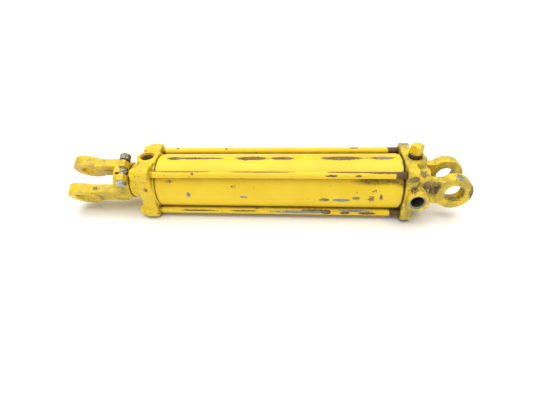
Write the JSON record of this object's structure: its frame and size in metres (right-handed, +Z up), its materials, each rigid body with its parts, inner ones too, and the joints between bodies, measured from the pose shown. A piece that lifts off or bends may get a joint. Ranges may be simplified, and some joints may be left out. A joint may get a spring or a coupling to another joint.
{
  "type": "hydraulic cylinder",
  "caption": "Double-acting tie-rod hydraulic cylinder with a slotted clevis on the end cap and a clamped clevis on the chromed rod, in worn yellow paint.",
  "frame": {"origin": "centre of the pin bore in the end cap's clevis", "axes": "+X along the cylinder's axis, away from the rod; Y along the end cap's pin bore; +Z up, square to the tie-rod plates"},
  "size_m": [0.6719, 0.1062, 0.1172],
  "materials": {
    "yellow_paint": "worn gloss enamel over brown primer, chipped to steel",
    "tie_rod_paint": "chipped enamel with bare rusty ends",
    "plated_steel": "dull zinc plate with paint overspray",
    "chrome_rod": "hard chrome, ground and polished",
    "ductile_iron": "machined, oily",
    "nitrile": "satin black rubber",
    "urethane": "smooth polyurethane",
    "filled_nylon": "smooth glass-filled nylon"
  },
  "bodies": {
    "barrel": {"barrel_tube": "yellow_paint", "head_gland": "yellow_paint", "end_cap": "yellow_paint", "tie_rod_front_top": "tie_rod_paint", "tie_rod_front_bottom": "tie_rod_paint", "tie_rod_back_top": "tie_rod_paint", "tie_rod_back_bottom": "tie_rod_paint", "tie_rod_nuts": "yellow_paint", "head_o_ring": "nitrile", "head_backup_ring": "filled_nylon", "cap_o_ring": "nitrile", "rod_bushing": "filled_nylon", "rod_seal": "urethane", "rod_wiper": "nitrile", "port_plug": "yellow_paint"},
    "piston_seals": {"piston_seal": "urethane", "piston_wear_band": "filled_nylon"},
    "rod": {"piston_rod": "chrome_rod", "piston": "ductile_iron", "piston_o_ring": "nitrile", "piston_lock_nut": "ductile_iron", "rod_clevis": "yellow_paint", "clamp_bolt": "plated_steel", "clamp_nut": "plated_steel", "clamp_lock_washer": "plated_steel"}
  },
  "joints": [
    {"name": "rod_slide", "type": "slide", "parent": "barrel", "child": "piston_seals", "axis": [-1, 0, 0], "range_m": [0, 0.3556]},
    {"name": "rod_spin", "type": "hinge", "parent": "piston_seals", "child": "rod", "pos_m": [-0.61595, 0, 0], "axis": [1, 0, 0], "continuous": true}
  ]
}
